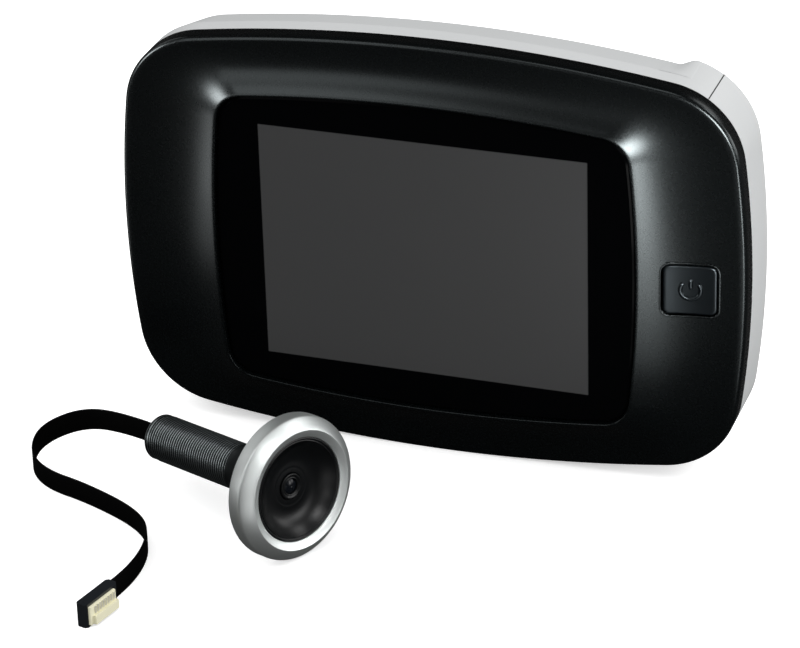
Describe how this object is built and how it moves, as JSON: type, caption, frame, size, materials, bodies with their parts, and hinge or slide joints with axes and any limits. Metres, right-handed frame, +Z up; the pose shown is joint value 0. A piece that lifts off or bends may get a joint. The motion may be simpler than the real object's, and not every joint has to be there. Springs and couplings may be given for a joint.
{
  "type": "peephole door camera",
  "caption": "Door viewer in two parts: an indoor screen unit with a push button, standing on its lower edge, and a camera tube on a flat ribbon cable lying in front of it.",
  "frame": {"origin": "centre of the underside of the box round the screen unit and camera tube, ribbon and plug left out; the floor is Z = 0", "axes": "+X to the right as seen from the front, along the screen's long side; +Y to the back of the screen unit; +Z up"},
  "size_m": [0.1461, 0.1049, 0.0922],
  "materials": {
    "bezel_black": "satin",
    "button_black": "satin",
    "window_black": "gloss",
    "foam": "matte",
    "screen": "gloss",
    "screen_frame": "satin",
    "flex_amber": "satin",
    "board_green": "satin",
    "chip_black": "matte",
    "screw_steel": "satin",
    "housing_grey": "satin",
    "tray_black": "matte",
    "cell_wrap": "satin",
    "contact_metal": "polished",
    "ring_metal": "satin",
    "dish_black": "satin",
    "lens_glass": "gloss",
    "barrel_black": "satin",
    "bush_black": "matte",
    "ribbon_black": "satin",
    "plug_black": "satin",
    "insert_cream": "matte"
  },
  "bodies": {
    "display_unit": {"front_bezel": "bezel_black", "display_window": "window_black", "foam_gasket": "foam", "lcd_panel": "screen", "lcd_frame": "screen_frame", "lcd_flex": "flex_amber", "main_board": "board_green", "board_chips": "chip_black", "board_screws": "screw_steel", "switch_body": "chip_black", "rear_housing": "housing_grey", "housing_screws": "screw_steel", "camera_socket": "insert_cream", "socket_pins": "contact_metal", "battery_tray": "tray_black", "batteries": "cell_wrap", "bay_contacts": "contact_metal"},
    "button": {"power_button": "button_black", "switch_plunger": "tray_black"},
    "cover": {"battery_cover": "housing_grey", "cover_contacts": "contact_metal"},
    "camera_unit": {"ring_bezel": "ring_metal", "lens_dish": "dish_black", "lens_ring": "dish_black", "camera_lens": "lens_glass", "lens_holder": "chip_black", "image_sensor": "chip_black", "sensor_board": "board_green", "barrel_tube": "barrel_black", "inner_flex": "ribbon_black", "tail_bush": "bush_black", "ribbon_cable": "ribbon_black", "plug_housing": "plug_black", "plug_insert": "insert_cream", "plug_pins": "contact_metal"}
  },
  "joints": [
    {"name": "button_press", "type": "slide", "parent": "display_unit", "child": "button", "axis": [0, 1, 0], "range_m": [0, 0.0004], "stiffness_N_per_m": 3000, "springref_m": -0.0003},
    {"name": "cover_slide", "type": "slide", "parent": "display_unit", "child": "cover", "axis": [1, 0, 0], "range_m": [0, 0.03]},
    {"name": "camera_lift", "type": "slide", "parent": "display_unit", "child": "camera_unit", "axis": [0, 0, 1], "range_m": [0, 0.1]}
  ]
}
